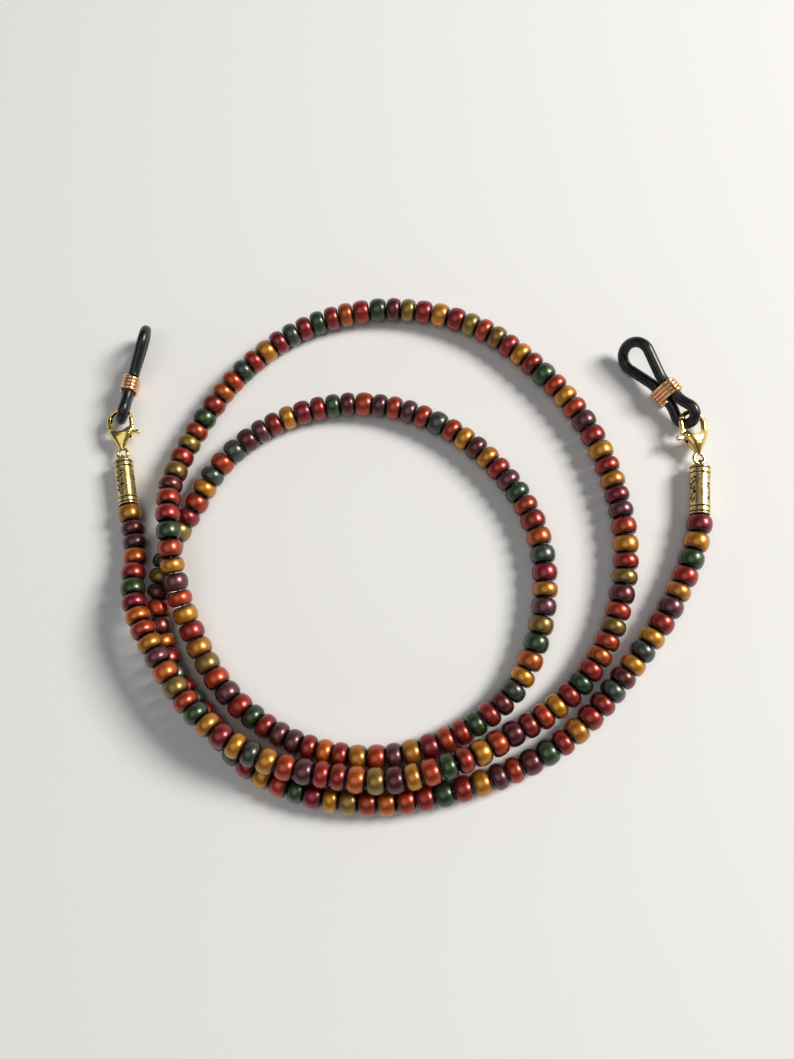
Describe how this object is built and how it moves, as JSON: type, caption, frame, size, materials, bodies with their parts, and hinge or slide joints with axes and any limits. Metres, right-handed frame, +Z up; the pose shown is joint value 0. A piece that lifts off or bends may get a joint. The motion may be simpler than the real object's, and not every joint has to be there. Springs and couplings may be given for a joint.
{
  "type": "eyeglass retainer strap",
  "caption": "Beaded strap that holds eyeglasses round the neck: a strand of glass beads with a tube bead, a lobster clasp, a rubber temple loop and a sliding wire coil at each end.",
  "frame": {"origin": "centre of the strap's box as it lies, on the surface it rests on", "axes": "+Z up from the surface, +X from the left end to the right end, +Y towards the rubber loops"},
  "size_m": [0.1093, 0.093, 0.0092],
  "materials": {
    "gold_glass": "opaque glass with a satin metallic coat",
    "amber_glass": "opaque glass with a satin metallic coat",
    "orange_glass": "opaque glass with a satin metallic coat",
    "red_glass": "opaque glass with a satin metallic coat",
    "maroon_glass": "opaque glass with a satin metallic coat",
    "plum_glass": "opaque glass with a satin metallic coat",
    "violet_glass": "opaque glass with a satin metallic coat",
    "green_glass": "opaque glass with a satin metallic coat",
    "slate_glass": "opaque glass with a satin metallic coat",
    "olive_glass": "opaque glass with a satin metallic coat",
    "beading_wire": "nylon-coated twisted wire",
    "crimp_metal": "plain",
    "antique_metal": "antique gold plate with darkened grooves",
    "clasp_metal": "polished gold plate",
    "pin_metal": "polished gold plate",
    "spring_steel": "bright drawn wire",
    "black_rubber": "satin black",
    "copper_wire": "polished copper-coloured plate"
  },
  "bodies": {
    "strand": {"gold_beads": "gold_glass", "amber_beads": "amber_glass", "orange_beads": "orange_glass", "red_beads": "red_glass", "maroon_beads": "maroon_glass", "plum_beads": "plum_glass", "violet_beads": "violet_glass", "green_beads": "green_glass", "slate_beads": "slate_glass", "olive_beads": "olive_glass", "beading_wire": "beading_wire", "left_wire_loop": "beading_wire", "left_crimp": "crimp_metal", "right_wire_loop": "beading_wire", "right_crimp": "crimp_metal"},
    "left_tube": {"left_tube_bead": "antique_metal"},
    "left_clasp": {"left_clasp_body": "clasp_metal", "left_lever_pin": "pin_metal", "left_lever_spring": "spring_steel"},
    "left_gate": {"left_lever": "clasp_metal"},
    "left_loop": {"left_rubber_loop": "black_rubber"},
    "left_slider": {"left_wire_coil": "copper_wire"},
    "right_tube": {"right_tube_bead": "antique_metal"},
    "right_clasp": {"right_clasp_body": "clasp_metal", "right_lever_pin": "pin_metal", "right_lever_spring": "spring_steel"},
    "right_gate": {"right_lever": "clasp_metal"},
    "right_loop": {"right_rubber_loop": "black_rubber"},
    "right_slider": {"right_wire_coil": "copper_wire"}
  },
  "joints": [
    {"name": "left_tube_spin", "type": "hinge", "parent": "strand", "child": "left_tube", "pos_m": [-0.0482, 0.0055, 0.0022], "axis": [-0.225, 0.9744, 0], "continuous": true},
    {"name": "left_clasp_swing", "type": "hinge", "parent": "strand", "child": "left_clasp", "pos_m": [-0.05027, 0.01446, 0.0022], "axis": [0.9877, 0.1564, 0], "range_deg": [-80, 80]},
    {"name": "left_lever_press", "type": "hinge", "parent": "left_clasp", "child": "left_gate", "pos_m": [-0.04931, 0.01962, 0.00246], "axis": [0.0082, -0.0517, 0.9986], "range_deg": [0, 15], "stiffness_Nm_per_rad": 0.01, "springref_deg": -11.46, "deforming": ["left_lever_spring"]},
    {"name": "left_loop_swing", "type": "hinge", "parent": "left_clasp", "child": "left_loop", "pos_m": [-0.05102, 0.02382, 0.00269], "axis": [0.9816, -0.1903, -0.0179], "range_deg": [-80, 80]},
    {"name": "left_coil_slide", "type": "slide", "parent": "left_loop", "child": "left_slider", "axis": [0.1911, 0.9793, 0.0666], "range_m": [0, 0.003], "deforming": ["left_rubber_loop"]},
    {"name": "right_tube_spin", "type": "hinge", "parent": "strand", "child": "right_tube", "pos_m": [0.053, 0.0045, 0.0022], "axis": [0.0523, 0.9986, 0], "continuous": true},
    {"name": "right_clasp_swing", "type": "hinge", "parent": "strand", "child": "right_clasp", "pos_m": [0.05348, 0.01369, 0.0022], "axis": [-0.955, -0.1456, 0.2586], "range_deg": [-80, 80]},
    {"name": "right_lever_press", "type": "hinge", "parent": "right_clasp", "child": "right_gate", "pos_m": [0.05112, 0.01833, 0.00287], "axis": [-0.2622, 0.0057, -0.965], "range_deg": [0, 15], "stiffness_Nm_per_rad": 0.01, "springref_deg": -11.46, "deforming": ["right_lever_spring"]},
    {"name": "right_loop_swing", "type": "hinge", "parent": "right_clasp", "child": "right_loop", "pos_m": [0.05125, 0.0227, 0.00286], "axis": [-0.7779, -0.593, 0.2078], "range_deg": [-50, 35]},
    {"name": "right_coil_slide", "type": "slide", "parent": "right_loop", "child": "right_slider", "axis": [-0.602, 0.7981, 0.024], "range_m": [0, 0.003], "deforming": ["right_rubber_loop"]}
  ]
}
